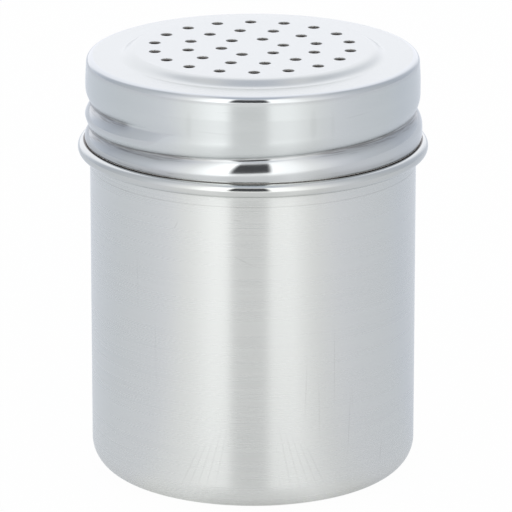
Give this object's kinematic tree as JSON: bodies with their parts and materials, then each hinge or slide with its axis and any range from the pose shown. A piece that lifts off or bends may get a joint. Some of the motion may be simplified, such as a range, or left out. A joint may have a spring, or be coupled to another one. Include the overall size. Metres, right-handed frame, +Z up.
{
  "type": "spice shaker",
  "caption": "Stainless spice shaker: a drawn cup with a ring bead and threaded neck, and a screw lid with a perforated raised deck for sprinkling.",
  "frame": {"origin": "middle of the base, on the plane that the cup stands on", "axes": "+Z up along the cup's axis; the picture looks along +Y, with +X to its right"},
  "size_m": [0.0752, 0.0752, 0.0933],
  "materials": {
    "cup_steel": "satin stainless steel, fine lines round the wall, bright on the bead",
    "lid_steel": "stainless steel, fine lines round the band, bright on the rolled thread and the corner, satin on the deck"
  },
  "bodies": {
    "cup": {"cup": "cup_steel"},
    "lid": {"lid": "lid_steel"}
  },
  "joints": [
    {"name": "lid_lift", "type": "slide", "parent": "cup", "child": "lid", "axis": [0, 0, 1], "range_m": [0, 0.035]}
  ]
}
